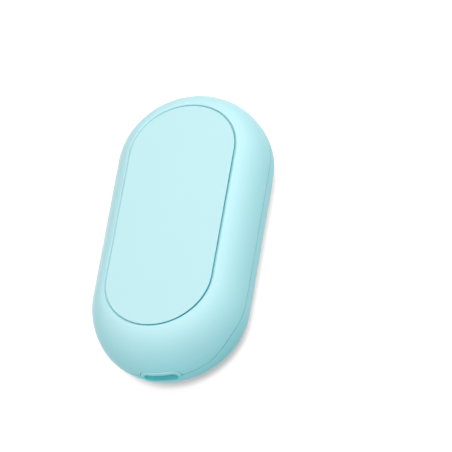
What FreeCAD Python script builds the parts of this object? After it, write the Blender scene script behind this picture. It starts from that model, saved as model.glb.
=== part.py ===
import FreeCAD, Part
import math
import os

# A pocket hand warmer: a pebble-shaped casing in two halves, with a flush heating plate in front
# and a push button behind. Lengths are in millimetres. The rear face lies on z = 0, the plate
# faces +Z, the charging port is at the -Y end, and the button lies towards the +Y end.

Vector = FreeCAD.Vector
ACROSS = Vector(1, 0, 0)
ALONG = Vector(0, 1, 0)
UP = Vector(0, 0, 1)
SIDES = (-1, 1)

# Casing
body_width = 52.0
body_length = 104.9
body_thick = 26.2
widest_height = 10.7
seam_height = 12.5
front_round_inset = 9.5
rear_round_inset = 8.2
wall = 2.0
rear_floor = 2.0
seam_gap = 0.2
seam_tongue_thick = 0.9
seam_tongue_rise = 1.2
dip_length = 13.0
dip_from_end = 2.0
fit_gap = 0.15
overrun = 1.0

# Heating plate, its glue, and what lies in the pocket under it
plate_side_margin = 7.8
plate_end_margin = 9.65
plate_gap = 0.45
plate_thick = 1.2
plate_edge_round = 0.25
lip_round = 0.3
lip_round_share = 0.45
ledge_width = 1.9
glue_thick = 0.2
glue_inset = 0.3
film_thick = 0.2
film_inset = 0.4
pocket_depth = 1.4
front_floor = 1.6
pad_inset = 1.2

# Posts and screws that hold the halves together, under the plate
well_margin = 0.3
light_room = 0.3
screw_head_radius = 1.9
screw_head_height = 1.4
screw_radius = 0.95
screw_length = 8.0
screw_slot = 0.5
screw_slot_depth = 0.7
screw_slot_share = 1.3
screw_room = 0.25
pilot_gap = 0.05
pilot_spare = 0.6
tube_wall = 1.05
seat_thick = 1.6
post_radius = 2.9
pin_radius = 2.1
pin_gap = 0.15

# Charging port
port_height = 9.4
port_width = 11.4
port_tall = 3.8
port_recess = 2.2
port_gap = 0.25
port_round = 0.15
port_wall = 1.3
port_raise = 0.3
port_frame_gap = 0.2
socket_width = 8.94
socket_height = 3.16
socket_length = 7.9
socket_sheet = 0.3
socket_block = 1.8
socket_tongue_width = 6.7
socket_tongue_height = 0.7
socket_tongue_setback = 0.9
contact_pitch = 0.5
contact_width = 0.26
contact_height = 0.06
contact_length = 4.2
contacts_per_side = 12
dimple_radius = 0.4
dimple_depth = 0.6
dimple_gap = 0.1

# Button and the lights above it
button_from_end = 31.0
button_radius = 6.2
button_gap = 0.2
button_sink = 0.4
button_edge_round = 0.35
button_travel = 0.3
dish_depth = 0.55
dish_reach = 2.1
flange_overlap = 0.9
flange_thick = 0.9
flange_gap = 0.1
sign_radius = 2.65
sign_stroke = 0.55
sign_raise = 0.2
sign_opening = 2.2
sign_bar_shares = (0.1, 1.2)
light_spread = 5.6
side_light_from_button = 11.0
middle_light_from_button = 12.9
light_hole_radius = 0.5
light_post_gap = 0.1
light_post_sink = 0.35
light_stem_radius = 0.65
guide_bar_width = 1.2
guide_bar_height = 1.5
led_width = 1.6
led_depth = 0.8
led_height = 0.6
led_gap = 0.2

# Tactile switch under the board
switch_width = 6.0
switch_base_height = 2.0
switch_cover_thick = 0.25
switch_cavity_radius = 2.3
switch_cavity_depth = 1.4
stem_radius = 1.7
stem_foot_radius = 2.0
stem_foot_height = 0.75
stem_gap = 0.12
stem_out = 0.85
dome_spare = 0.1
dome_thick = 0.12
dome_gap = 0.05
press_gap = 0.05

# Circuit board and its parts
board_thick = 1.2
board_width = 32.0
board_room = 0.8
board_margin = 4.4
standoff_radius = 2.6
standoff_x = 12.0
standoff_step = 5.4
board_screw_length = 4.8
board_screw_head_height = 1.1
switch_to_chip = 20.6
chip_width = 4.0
chip_length = 10.0
chip_height = 1.6
chip_leg_width = 0.4
chip_leg_reach = 1.0
chip_leg_thick = 0.2
chip_leg_pitch = 1.27
chip_legs_per_side = 8
coil_width = 7.0
coil_height = 3.0
coil_corner = 1.4
coil_offset = 9.0
coil_pad_thick = 0.3
transistor_width = 5.0
transistor_length = 6.0
transistor_height = 1.1
cap_width = 1.6
cap_length = 3.2
cap_height = 1.5
cap_pitch = 3.0
caps_per_row = 4

# Cell, its tray and its pads
tray_wall = 1.2
tray_floor = 1.0
tray_height = 4.5
tray_gap = 0.3
tray_lift = 0.8
clamp_gap = 0.1
collar_wall = 1.15
cell_room = 0.25
cell_side_room = 1.5
cell_round = 1.4
cell_pad_thick = 1.2
cell_tape_thick = 0.4
cell_pad_inset = 4.0
safety_board_width = 18.0
safety_board_height = 4.6
safety_board_thick = 0.8
safety_board_lift = 0.8

# Leads
lead_pitch = 1.7
lead_radius = 0.6
sensor_lead_radius = 0.3
lead_bend = 3.6
lead_tail = 2.0
lead_room = 0.5
cell_lead_step = 1.6
heater_lead_shares = (-2.5, -1.5)
cell_lead_shares = (-0.5, 0.5)
sensor_lead_shares = (1.6, 2.2)
sensor_width = 2.0
sensor_length = 1.6
sensor_height = 1.0
sensor_from_drop = 14.0

# Places worked out from the sizes above
half_width = body_width / 2
half_length = body_length / 2
run = half_length - half_width
front_rise = body_thick - widest_height

plate_half_width = half_width - plate_side_margin - plate_gap / 2
plate_half_length = half_length - plate_end_margin - plate_gap / 2
plate_low = body_thick - plate_thick
ledge_z = plate_low - glue_thick
pocket_half_width = plate_half_width - ledge_width
pocket_half_length = plate_half_length - ledge_width
pocket_z = ledge_z - pocket_depth
ceiling = pocket_z - front_floor
film_low = plate_low - film_thick

well_radius = screw_head_radius + screw_room
tube_radius = well_radius + tube_wall
boss_reach = pocket_half_width - well_radius - well_margin
boss_x = light_spread + light_stem_radius + light_room + post_radius
boss_y = pocket_half_length - pocket_half_width + math.sqrt(boss_reach ** 2 - boss_x ** 2)
boss_places = [(x * boss_x, y * boss_y) for x in SIDES for y in SIDES]
screw_seat = seam_height + seat_thick

board_low = port_height - socket_height / 2 - board_thick
board_high = board_low + board_thick
socket_mouth = -half_length + port_recess
socket_back = socket_mouth + socket_length
dip_low_y = -half_length + dip_from_end
standoff_places = [(x * standoff_x, -boss_y - standoff_step) for x in SIDES]

button_y = half_length - button_from_end
chip_y = button_y - switch_to_chip
hole_radius = button_radius + button_gap
flange_radius = hole_radius + flange_overlap
flange_low = rear_floor + flange_gap
switch_low = board_low - switch_base_height
cover_low = switch_low - switch_cover_thick
stem_tip = cover_low - stem_out
cavity_top = switch_low + switch_cavity_depth
dome_rise = button_travel + dome_spare
dome_tip = cavity_top - dome_rise
foot_top = dome_tip - dome_gap
foot_low = foot_top - stem_foot_height
side_light_y = button_y + side_light_from_button
middle_light_y = button_y + middle_light_from_button
light_places = [
    (-light_spread, side_light_y),
    (0, middle_light_y),
    (light_spread, side_light_y),
]

tray_low = board_high + tray_lift
tray_bed = tray_low + tray_floor
cell_low = tray_bed + cell_tape_thick
cell_high = ceiling - cell_pad_thick
tray_half_length = boss_y - tube_radius - tray_gap
cell_half_length = tray_half_length - tray_wall - cell_room
lead_drop = -boss_y
lead_arc_start = lead_drop + lead_bend
safety_board_face = -cell_half_length - safety_board_thick


def front_inset(z):
    """How far the front rounding has drawn in at a height above the widest line."""
    share = (z - widest_height) / front_rise
    return front_round_inset * (1 - math.sqrt(1 - share * share))


def rear_inset(z):
    """How far the rear rounding has drawn in at a height below the widest line."""
    share = (widest_height - z) / widest_height
    return rear_round_inset * (1 - math.sqrt(1 - share * share))


cell_half_width = half_width - wall - front_inset(ceiling) - cell_side_room
tray_half_width = cell_half_width + cell_room + tray_wall
board_inset = wall + rear_inset(board_low) + board_room


# Small helpers

def block(x_low, x_high, y_low, y_high, z_low, z_high):
    corner = Vector(x_low, y_low, z_low)
    return Part.makeBox(x_high - x_low, y_high - y_low, z_high - z_low, corner)


def centred(width, length, x, y, z_low, z_high):
    return block(x - width / 2, x + width / 2, y - length / 2, y + length / 2, z_low, z_high)


def round_bar(radius, x, y, z_low, z_high):
    return Part.makeCylinder(radius, z_high - z_low, Vector(x, y, z_low))


def line(start, end):
    return Part.LineSegment(start, end).toShape()


def arc(start, middle, end):
    return Part.Arc(start, middle, end).toShape()


def joined(solids):
    whole = solids[0].multiFuse(solids[1:])
    return whole.removeSplitter()


def slot_wire(half_w, half_l, z):
    """A straight-sided outline with half-round ends along Y, at height z."""
    straight = half_l - half_w
    corners = [Vector(x * half_w, y * straight, z) for x, y in ((1, -1), (1, 1), (-1, 1), (-1, -1))]
    tips = [Vector(0, y * half_l, z) for y in (1, -1)]
    return Part.Wire([
        line(corners[0], corners[1]),
        arc(corners[1], tips[0], corners[2]),
        line(corners[2], corners[3]),
        arc(corners[3], tips[1], corners[0]),
    ])


def slot_prism(half_w, half_l, z_low, z_high):
    return Part.Face(slot_wire(half_w, half_l, z_low)).extrude(UP * (z_high - z_low))


def slab(z_low, z_high):
    reach = half_length + overrun
    return block(-reach, reach, -reach, reach, z_low, z_high)


def s_curve(start, end, heading):
    """Two equal arcs from start to end that leave and arrive along the heading."""
    crossing = (start + end) / 2
    chord = crossing - start
    forward = Vector(chord).normalize()
    side = (heading - forward * heading.dot(forward)).normalize()
    bulge = side * (chord.Length / 2 * math.tan(chord.getAngle(heading) / 2))
    return [
        arc(start, (start + crossing) / 2 + bulge, crossing),
        arc(crossing, (crossing + end) / 2 - bulge, end),
    ]


def parted(lift, base):
    """What lies between a base height and the parting surface, lifted by a distance.

    The surface is level along the sides and dips to the port's height at the -Y end.
    """
    reach = half_length + overrun
    far = Vector(-reach, reach, seam_height + lift)
    level_end = Vector(-reach, dip_low_y + dip_length, seam_height + lift)
    dip_end = Vector(-reach, dip_low_y, port_height + lift)
    near = Vector(-reach, -reach, port_height + lift)
    base_near = Vector(-reach, -reach, base)
    base_far = Vector(-reach, reach, base)
    edges = [line(far, level_end), *s_curve(level_end, dip_end, -ALONG), line(dip_end, near)]
    edges += [line(near, base_near), line(base_near, base_far), line(base_far, far)]
    return Part.Face(Part.Wire(edges)).extrude(ACROSS * (2 * reach))


def turned(points, x, y):
    """A solid turned about the upright axis through x, y from a closed outline of (radius, z)."""
    corners = [Vector(x + radius, y, z) for radius, z in points]
    face = Part.Face(Part.makePolygon(corners + corners[:1]))
    return face.revolve(Vector(x, y, 0), UP, 360)


def quarter_ellipse(centre, first, second):
    """A quarter of an ellipse between the ends of its two half axes."""
    longer, shorter = (first, second) if first.Length >= second.Length else (second, first)
    curve = Part.Ellipse(centre + longer, centre + shorter, centre)
    return Part.ArcOfEllipse(curve, 0, math.pi / 2).toShape()


# Casing

def half_profile(inset):
    """Half of the casing's cross-section, drawn in by an inset at the side."""
    rear_flat = half_width - inset - rear_round_inset
    front_flat = half_width - inset - front_round_inset
    foot = Vector(0, 0, 0)
    head = Vector(0, 0, body_thick)
    edges = [
        line(foot, Vector(rear_flat, 0, 0)),
        quarter_ellipse(Vector(rear_flat, 0, widest_height), ACROSS * rear_round_inset, UP * -widest_height),
        quarter_ellipse(Vector(front_flat, 0, widest_height), ACROSS * front_round_inset, UP * front_rise),
        line(Vector(front_flat, 0, body_thick), head),
        line(head, foot),
    ]
    return Part.Face(Part.Wire(Part.__sortEdges__(edges)))


def casing_form(inset):
    """The pebble form, with straight sides and half-round ends, drawn in by an inset."""
    half = half_profile(inset)
    pieces = []
    for face in (half, half.mirror(Vector(), ACROSS)):
        pieces.append(face.translated(ALONG * -run).extrude(ALONG * (2 * run)))
    for end in SIDES:
        pieces.append(half.translated(ALONG * (end * run)).revolve(Vector(0, end * run, 0), UP, end * 180))
    return joined(pieces)


def end_prism(width, height, y_low, y_high):
    """A bar along Y at the port's height, with half-round sides."""
    wire = slot_wire(height / 2, width / 2, 0)
    wire.rotate(Vector(), UP, 90)
    wire.rotate(Vector(), ACROSS, 90)
    wire.translate(Vector(0, y_low, port_height))
    return Part.Face(wire).extrude(ALONG * (y_high - y_low))


outer_form = casing_form(0)
inner_form = casing_form(wall)
tongue_form = casing_form(wall - seam_tongue_thick)


def lead_window():
    half = boss_x - tube_radius - lead_room
    near = lead_drop - lead_radius - lead_room
    return block(-half, half, near, lead_arc_start, ceiling - overrun, pocket_z + overrun)


def front_shell():
    """Front half: skin, plate recess with a floor, and four screw tubes."""
    above = parted(seam_gap / 2, body_thick + overrun)
    shell = outer_form.common(above).cut(inner_form.common(slab(0, ceiling)))
    rebate = casing_form(wall - seam_tongue_thick - fit_gap)
    shell = shell.cut(rebate.common(parted(seam_tongue_rise + fit_gap, -overrun)))
    tubes = [round_bar(tube_radius, x, y, seam_height, pocket_z) for x, y in boss_places]
    shell = shell.multiFuse(tubes)
    recess = slot_prism(
        plate_half_width + plate_gap, plate_half_length + plate_gap, ledge_z, body_thick + overrun
    )
    pocket = slot_prism(pocket_half_width, pocket_half_length, pocket_z, ledge_z + overrun)
    cuts = [recess, pocket, lead_window(), port_block(seam_gap, fit_gap), *dimples()]
    for x, y in boss_places:
        cuts.append(round_bar(well_radius, x, y, screw_seat, pocket_z + overrun))
        cuts.append(round_bar(screw_radius + screw_room, x, y, seam_height - overrun, screw_seat + overrun))
    for cut in cuts:
        shell = shell.cut(cut)
    return rounded_lip(shell)


def rounded_lip(shell):
    """Rounds the upper edge of the plate recess, within the height of its lowest wall."""
    reach = plate_half_width + plate_gap - (half_width - front_round_inset)
    lip_high = widest_height + front_rise * math.sqrt(1 - (reach / front_round_inset) ** 2)
    radius = min(lip_round, lip_round_share * (lip_high - ledge_z))
    lip = [edge for edge in shell.Edges if edge.BoundBox.ZMin > ledge_z + radius]
    return shell.makeFillet(radius, lip)


def dish():
    """Shallow round hollow about the button, with a soft S-shaped slope."""
    rim = Vector(hole_radius + dish_reach, button_y, 0)
    inner = Vector(hole_radius, button_y, dish_depth)
    centre = Vector(0, button_y, 0)
    floor = centre + UP * dish_depth
    edges = [*s_curve(rim, inner, -ACROSS), line(inner, floor), line(floor, centre), line(centre, rim)]
    return Part.Face(Part.Wire(edges)).revolve(centre, UP, 360)


def port_block(grow, further):
    """The space of the frame round the port, grown all round and made longer inwards."""
    margin = 2 * (port_wall + grow)
    back = -half_length + board_inset - port_frame_gap + further
    return end_prism(port_width + margin, port_tall + margin, -half_length - overrun, back)


def recess_space():
    return end_prism(port_width, port_tall, -half_length - overrun, socket_mouth)


def socket_opening():
    margin = 2 * port_gap
    return end_prism(socket_width + margin, socket_height + margin, socket_mouth - overrun, -run)


def port_frame():
    """Raised frame round the charging recess, which closes in round the socket behind it."""
    frame = port_block(0, 0).common(casing_form(-port_raise)).cut(recess_space())
    rims = [edge for edge in frame.Edges if edge.BoundBox.YMax < socket_mouth - port_round]
    return frame.makeFillet(port_round, rims)


def end_wall_y(x):
    """Outside of the -Y end wall at the port's height."""
    radius = half_width - rear_inset(port_height)
    return -run - math.sqrt(radius * radius - x * x)


def dimples():
    """Small round notches on the parting line, beside the port's frame."""
    pits = []
    for side in SIDES:
        x = side * (port_width / 2 + port_wall + dimple_gap + dimple_radius)
        start = Vector(x, end_wall_y(x) - overrun, port_height)
        pits.append(Part.makeCylinder(dimple_radius, dimple_depth + overrun, start, ALONG))
    return pits


def rear_shell():
    """Rear half: skin with a tongue at the seam, posts, standoffs, button hole and port."""
    below = parted(-seam_gap / 2, -overrun)
    shell = outer_form.common(below).cut(inner_form.common(slab(rear_floor, body_thick)))
    risen = tongue_form.common(parted(seam_tongue_rise, -overrun))
    tongue = risen.common(parted(-seam_tongue_rise, body_thick)).cut(inner_form)
    posts = [round_bar(post_radius, x, y, rear_floor / 2, board_low) for x, y in boss_places]
    pins = [round_bar(pin_radius, x, y, rear_floor / 2, seam_height) for x, y in boss_places]
    standoffs = [round_bar(standoff_radius, x, y, rear_floor / 2, board_low) for x, y in standoff_places]
    trimmed = [standoff.common(outer_form) for standoff in standoffs]
    shell = shell.multiFuse([tongue, port_frame()] + posts + pins + trimmed)
    cuts = [dish(), round_bar(hole_radius, 0, button_y, -overrun, rear_floor + overrun)]
    cuts += [recess_space(), socket_opening(), *dimples()]
    for x, y in light_places:
        cuts.append(round_bar(light_hole_radius, x, y, -overrun, rear_floor + overrun))
    tip = screw_seat - screw_length - pilot_spare
    for x, y in boss_places:
        cuts.append(round_bar(screw_radius + pilot_gap, x, y, tip, seam_height + overrun))
    board_tip = board_high - board_screw_length - pilot_spare
    for x, y in standoff_places:
        cuts.append(round_bar(screw_radius + pilot_gap, x, y, board_tip, board_low + overrun))
    for cut in cuts:
        shell = shell.cut(cut)
    return shell.removeSplitter()


# Heating plate and pocket

def heating_plate():
    plate = slot_prism(plate_half_width, plate_half_length, plate_low, body_thick)
    top = [edge for edge in plate.Edges if edge.BoundBox.ZMin > (plate_low + body_thick) / 2]
    return plate.makeFillet(plate_edge_round, top)


def plate_adhesive():
    outer = slot_prism(plate_half_width - glue_inset, plate_half_length - glue_inset, ledge_z, plate_low)
    inner = slot_prism(pocket_half_width, pocket_half_length, ledge_z - overrun, plate_low + overrun)
    return outer.cut(inner)


def heater_film():
    return slot_prism(pocket_half_width - film_inset, pocket_half_length - film_inset, film_low, plate_low)


def sensor_x():
    return sum(sensor_lead_shares) / len(sensor_lead_shares) * lead_pitch


def insulation_pad():
    """Foam under the film, cut back for the leads, with a slot for the sensor."""
    pad = slot_prism(pocket_half_width - pad_inset, pocket_half_length - pad_inset, pocket_z, film_low)
    end = lead_arc_start + lead_tail + lead_room
    reach = half_length + overrun
    pad = pad.cut(block(-reach, reach, -reach, end, pocket_z - overrun, body_thick))
    half = sensor_width / 2 + lead_room
    far = lead_drop + sensor_from_drop + sensor_length + lead_room
    x = sensor_x()
    pad = pad.cut(block(x - half, x + half, end - overrun, far, pocket_z - overrun, body_thick))
    for place in boss_places:
        pad = pad.cut(round_bar(well_radius, *place, pocket_z - overrun, body_thick))
    return pad


def thermistor():
    y = lead_drop + sensor_from_drop + sensor_length / 2
    return centred(sensor_width, sensor_length, sensor_x(), y, film_low - sensor_height, film_low)


# Fasteners

def screw(x, y, seat, head_height, length):
    """Pan-head screw with a cross slot, its head resting on the seat."""
    top = seat + head_height
    body = round_bar(screw_head_radius, x, y, seat, top)
    body = body.fuse(round_bar(screw_radius, x, y, seat - length, seat))
    long = screw_head_radius * screw_slot_share
    cut = top - screw_slot_depth
    body = body.cut(centred(screw_slot, long, x, y, cut, top + overrun))
    return body.cut(centred(long, screw_slot, x, y, cut, top + overrun)).removeSplitter()


def shell_screws():
    head = screw_head_height
    return Part.makeCompound([screw(x, y, screw_seat, head, screw_length) for x, y in boss_places])


def board_screws():
    head = board_screw_head_height
    return Part.makeCompound([screw(x, y, board_high, head, board_screw_length) for x, y in standoff_places])


# Charging socket

def socket_core(y_low, y_high):
    """The room inside the socket's metal shell."""
    sheets = 2 * socket_sheet
    return end_prism(socket_width - sheets, socket_height - sheets, y_low, y_high)


def socket_shell():
    outer = end_prism(socket_width, socket_height, socket_mouth, socket_back)
    return outer.cut(socket_core(socket_mouth - overrun, socket_back + overrun))


def socket_tongue():
    """Moulded block at the back of the socket, with the tongue standing out of it."""
    base = socket_core(socket_back - socket_block, socket_back)
    low = port_height - socket_tongue_height / 2
    high = port_height + socket_tongue_height / 2
    half = socket_tongue_width / 2
    tip = socket_mouth + socket_tongue_setback
    return joined([base, block(-half, half, tip, socket_back - socket_block, low, high)])


def socket_contacts():
    strips = []
    y_high = socket_back - socket_block
    first = -contact_pitch * (contacts_per_side - 1) / 2
    for side in SIDES:
        face = port_height + side * socket_tongue_height / 2
        low, high = sorted((face, face + side * contact_height))
        for index in range(contacts_per_side):
            x = first + index * contact_pitch
            half = contact_width / 2
            strips.append(block(x - half, x + half, y_high - contact_length, y_high, low, high))
    return Part.makeCompound(strips)


# Button, lights and switch

def power_sign():
    """Raised ring, open towards the lights, with a bar in the opening."""
    low = button_sink - sign_raise
    high = button_sink + sign_raise
    ring = round_bar(sign_radius + sign_stroke / 2, 0, button_y, low, high)
    ring = ring.cut(round_bar(sign_radius - sign_stroke / 2, 0, button_y, low - overrun, high + overrun))
    half = sign_opening / 2
    ring = ring.cut(block(-half, half, button_y, button_y + button_radius, low - overrun, high + overrun))
    start, end = [button_y + share * sign_radius for share in sign_bar_shares]
    return ring, block(-sign_stroke / 2, sign_stroke / 2, start, end, low, high)


def power_button():
    """Button cap with its retaining flange, the boss that meets the switch, and the raised sign."""
    top = flange_low + flange_thick
    cap = round_bar(button_radius, 0, button_y, button_sink, top)
    rim = [edge for edge in cap.Edges if edge.BoundBox.ZMax < (button_sink + top) / 2]
    cap = cap.makeFillet(button_edge_round, rim)
    flange = round_bar(flange_radius, 0, button_y, flange_low, top)
    boss = round_bar(stem_radius, 0, button_y, top - flange_thick / 2, stem_tip - press_gap)
    return joined([cap, flange, boss, *power_sign()])


def light_guide():
    """Clear posts in the light holes, joined by bars that lie on the casing floor."""
    bar_top = rear_floor + guide_bar_height
    pieces = []
    for x, y in light_places:
        pieces.append(round_bar(light_hole_radius - light_post_gap, x, y, light_post_sink, bar_top))
        pieces.append(round_bar(light_stem_radius, x, y, rear_floor, board_low - led_height - led_gap))
    middle = Vector(*light_places[1], rear_floor)
    for x, y in (light_places[0], light_places[2]):
        reach = Vector(x, y, rear_floor) - middle
        bar = block(0, reach.Length, -guide_bar_width / 2, guide_bar_width / 2, 0, guide_bar_height)
        bar.rotate(Vector(), UP, math.degrees(math.atan2(reach.y, reach.x)))
        pieces.append(bar.translated(middle))
    return joined(pieces)


def indicator_leds():
    lamps = [centred(led_width, led_depth, x, y, board_low - led_height, board_low) for x, y in light_places]
    return Part.makeCompound(lamps)


def switch_base():
    base = centred(switch_width, switch_width, 0, button_y, switch_low, board_low)
    return base.cut(round_bar(switch_cavity_radius, 0, button_y, switch_low - overrun, cavity_top))


def switch_cover():
    cover = centred(switch_width, switch_width, 0, button_y, cover_low, switch_low)
    hole = stem_radius + stem_gap
    return cover.cut(round_bar(hole, 0, button_y, cover_low - overrun, switch_low + overrun))


def switch_dome():
    """Shallow sprung dome on the cavity's floor, bulging towards the stem."""
    edge = stem_foot_radius
    sphere = (edge * edge + dome_rise * dome_rise) / (2 * dome_rise)
    centre = Vector(0, button_y, dome_tip + sphere)
    cap = Part.makeSphere(sphere, centre).cut(Part.makeSphere(sphere - dome_thick, centre))
    return cap.common(round_bar(edge, 0, button_y, dome_tip - overrun, cavity_top))


def switch_plunger():
    points = [
        (0, stem_tip), (stem_radius, stem_tip), (stem_radius, foot_low),
        (stem_foot_radius, foot_low), (stem_foot_radius, foot_top), (0, foot_top),
    ]
    return turned(points, 0, button_y)


# Circuit board

def control_board():
    board = slot_prism(half_width - board_inset, half_length - board_inset, board_low, board_high)
    far = middle_light_y + board_margin
    half = board_width / 2
    board = board.common(block(-half, half, -half_length, far, board_low, board_high))
    holes = [(pin_radius + pin_gap, place) for place in boss_places]
    holes += [(screw_radius + screw_room, place) for place in standoff_places]
    for radius, place in holes:
        board = board.cut(round_bar(radius, *place, board_low - overrun, board_high + overrun))
    return board


def power_chip():
    """Flat chip under the board, with a row of legs along each side."""
    body = centred(chip_width, chip_length, 0, chip_y, board_low - chip_height, board_low - chip_leg_thick)
    pieces = [body]
    span = chip_width + 2 * chip_leg_reach
    first = chip_y - chip_leg_pitch * (chip_legs_per_side - 1) / 2
    for index in range(chip_legs_per_side):
        y = first + index * chip_leg_pitch
        pieces.append(centred(span, chip_leg_width, 0, y, board_low - chip_leg_thick, board_low))
    return joined(pieces)


def power_inductor():
    """Shielded coil block on two end pads."""
    pad_low = board_low - coil_pad_thick
    body = centred(coil_width, coil_width, coil_offset, chip_y, board_low - coil_height, pad_low)
    upright = [edge for edge in body.Edges if edge.BoundBox.ZLength > coil_pad_thick]
    body = body.makeChamfer(coil_corner, upright)
    pads = []
    for side in SIDES:
        y = chip_y + side * coil_width / 3
        pads.append(centred(coil_width / 2, coil_width / 4, coil_offset, y, pad_low, board_low))
    return joined([body] + pads)


def heater_transistor():
    low = board_low - transistor_height
    return centred(transistor_width, transistor_length, -coil_offset, chip_y, low, board_low)


def capacitors():
    rows = []
    first = -cap_pitch * (caps_per_row - 1) / 2
    for side in SIDES:
        y = chip_y + side * (chip_length / 2 + cap_length)
        for index in range(caps_per_row):
            x = first + index * cap_pitch
            rows.append(centred(cap_width, cap_length, x, y, board_low - cap_height, board_low))
    return Part.makeCompound(rows)


# Cell and tray

def battery_tray():
    """Shallow tray over the board, held by collars round the casing's pins."""
    top = tray_low + tray_height
    tray = centred(2 * tray_half_width, 2 * tray_half_length, 0, 0, tray_low, top)
    wide = tray_half_width - tray_wall
    long = tray_half_length - tray_wall
    tray = tray.cut(block(-wide, wide, -long, long, tray_bed, top + overrun))
    notch = safety_board_width / 2 + cell_room
    end = tray_half_length + overrun
    tray = tray.cut(block(-notch, notch, -end, -long + overrun, tray_bed, top + overrun))
    collar = pin_radius + pin_gap + collar_wall
    ears = []
    for x, y in boss_places:
        ears.append(round_bar(collar, x, y, board_high, seam_height - clamp_gap))
        near, far = sorted((y, math.copysign(long, y)))
        ears.append(block(x - collar, x + collar, near, far, tray_low, tray_bed))
    tray = tray.multiFuse(ears)
    for x, y in boss_places:
        tray = tray.cut(round_bar(pin_radius + pin_gap, x, y, board_high - overrun, seam_height + overrun))
    return tray.removeSplitter()


def battery_cell():
    cell = centred(2 * cell_half_width, 2 * cell_half_length, 0, 0, cell_low, cell_high)
    long_edges = [edge for edge in cell.Edges if edge.BoundBox.YLength > cell_half_length]
    return cell.makeFillet(cell_round, long_edges)


def cell_sheet(z_low, z_high):
    width = 2 * (cell_half_width - cell_pad_inset)
    length = 2 * (cell_half_length - cell_pad_inset)
    return centred(width, length, 0, 0, z_low, z_high)


def battery_tape():
    return cell_sheet(tray_bed, cell_low)


def battery_pad():
    return cell_sheet(cell_high, ceiling)


def protection_board():
    half = safety_board_width / 2
    low = cell_low + safety_board_lift
    return block(-half, half, safety_board_face, -cell_half_length, low, low + safety_board_height)


# Leads

def lead(x, start_y, z, drop_y, radius):
    """A lead that leaves along -Y at height z and bends down to the board."""
    begin = Vector(x, start_y, z)
    bend_start = Vector(x, drop_y + lead_bend, z)
    centre = bend_start - UP * lead_bend
    bend_end = centre - ALONG * lead_bend
    middle = centre + (UP - ALONG).normalize() * lead_bend
    finish = Vector(x, drop_y, board_high)
    path = Part.Wire([line(begin, bend_start), arc(bend_start, middle, bend_end), line(bend_end, finish)])
    section = Part.Wire([Part.makeCircle(radius, begin, ALONG)])
    solid = path.makePipeShell([section], True, False)
    ratio = solid.Volume / (math.pi * radius * radius * path.Length)
    print("lead length %.1f, bend radius %.1f, volume share %.4f" % (path.Length, lead_bend, ratio))
    return solid


def cell_lead(share):
    z = cell_low + safety_board_lift + safety_board_height / 2
    return lead(share * lead_pitch, safety_board_face, z, lead_drop - cell_lead_step, lead_radius)


def heater_leads():
    start = lead_arc_start + lead_tail
    z = film_low - lead_radius
    pair = [lead(s * lead_pitch, start, z, lead_drop, lead_radius) for s in heater_lead_shares]
    return Part.makeCompound(pair)


def thermistor_leads():
    start = lead_drop + sensor_from_drop
    z = film_low - sensor_height / 2
    pair = [lead(s * lead_pitch, start, z, lead_drop, sensor_lead_radius) for s in sensor_lead_shares]
    return Part.makeCompound(pair)


nodes = {
    "front_shell": front_shell(),
    "rear_shell": rear_shell(),
    "heating_plate": heating_plate(),
    "plate_adhesive": plate_adhesive(),
    "heater_film": heater_film(),
    "insulation_pad": insulation_pad(),
    "thermistor": thermistor(),
    "thermistor_leads": thermistor_leads(),
    "heater_leads": heater_leads(),
    "shell_screws": shell_screws(),
    "board_screws": board_screws(),
    "socket_shell": socket_shell(),
    "socket_tongue": socket_tongue(),
    "socket_contacts": socket_contacts(),
    "power_button": power_button(),
    "light_guide": light_guide(),
    "indicator_leds": indicator_leds(),
    "switch_base": switch_base(),
    "switch_cover": switch_cover(),
    "switch_dome": switch_dome(),
    "switch_plunger": switch_plunger(),
    "control_board": control_board(),
    "power_chip": power_chip(),
    "power_inductor": power_inductor(),
    "heater_transistor": heater_transistor(),
    "capacitors": capacitors(),
    "battery_tray": battery_tray(),
    "battery_cell": battery_cell(),
    "battery_tape": battery_tape(),
    "battery_pad": battery_pad(),
    "protection_board": protection_board(),
    "battery_lead_black": cell_lead(cell_lead_shares[0]),
    "battery_lead_red": cell_lead(cell_lead_shares[1]),
}

os.makedirs("parts", exist_ok=True)
for name, shape in nodes.items():
    if not shape.isValid() or not shape.Solids:
        raise ValueError("bad solid: " + name)
    shape.exportStep("parts/" + name + ".step")
    print(name, len(shape.Solids), round(shape.Volume, 2))
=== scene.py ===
"""Looks of a rechargeable hand warmer: finishes, small parts, studio and camera, as an add-on."""
import math

import bpy
from bpy.props import FloatProperty, FloatVectorProperty, PointerProperty
from bpy.types import Operator, Panel, PropertyGroup
from mathutils import Matrix, Vector


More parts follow.
